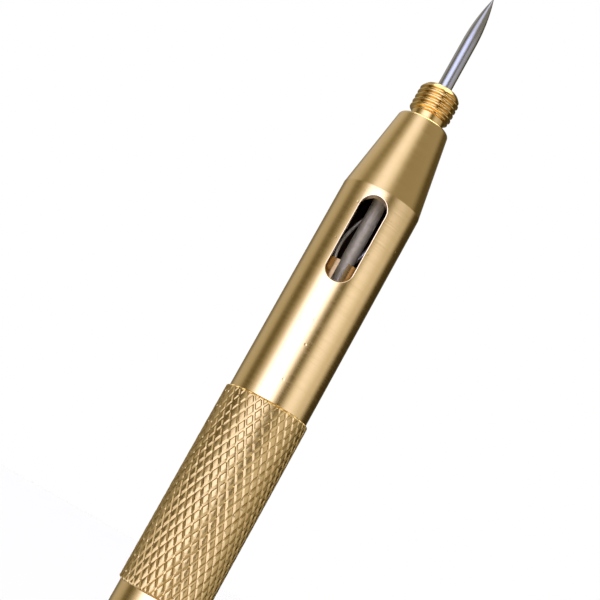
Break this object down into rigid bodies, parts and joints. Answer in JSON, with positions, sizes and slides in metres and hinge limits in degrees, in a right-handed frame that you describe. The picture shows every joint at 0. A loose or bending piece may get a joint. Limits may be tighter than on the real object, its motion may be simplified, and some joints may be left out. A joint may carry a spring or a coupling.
{
  "type": "hand awl",
  "caption": "Slim brass hand awl with a knurled grip, a slotted viewing window, a threaded nose nipple and a sprung steel needle that turns as it is pushed back.",
  "frame": {"origin": "centre of the flat rear face of the end cap", "axes": "+Z along the tool's axis from the rear face to the needle's point, -Y towards the viewing slot, +X to the right when the slot faces the viewer and the needle points up"},
  "size_m": [0.0128, 0.0128, 0.1353],
  "materials": {
    "brass": "satin turned brass",
    "brass_bright": "bright cut brass",
    "needle_steel": "ground and polished steel",
    "spindle_steel": "drawn steel",
    "spring_wire": "bright drawn spring wire",
    "dark_steel": "blackened steel",
    "rubber": "matt black rubber",
    "nylon": "natural nylon"
  },
  "bodies": {
    "barrel": {"barrel": "brass", "end_cap": "brass", "cap_oring": "rubber", "nose_nipple": "brass_bright", "front_bumper": "rubber", "spiral_nut": "brass", "nut_retainer": "brass", "return_spring": "spring_wire"},
    "follower": {"spring_cup": "brass", "thrust_washer": "nylon"},
    "needle": {"needle": "needle_steel", "needle_chuck": "brass", "chuck_screws": "dark_steel", "spindle": "spindle_steel", "spiral_wire_a": "spring_wire", "spiral_wire_b": "spring_wire", "tail_collar": "brass", "collar_pin": "dark_steel", "pivot_clip": "dark_steel"}
  },
  "joints": [
    {"name": "needle_plunge", "type": "slide", "parent": "barrel", "child": "follower", "axis": [0, 0, 1], "range_m": [-0.0085, 0], "stiffness_N_per_m": 300, "springref_m": 0.006, "deforming": ["return_spring"]},
    {"name": "needle_twist", "type": "hinge", "parent": "follower", "child": "needle", "pos_m": [0, 0, 0.1], "axis": [0, 0, 1], "range_deg": [0, 102.5]}
  ],
  "couplings": [
    {"joint": "needle_twist", "follows": "needle_plunge", "rad_per_m": -209.44}
  ]
}
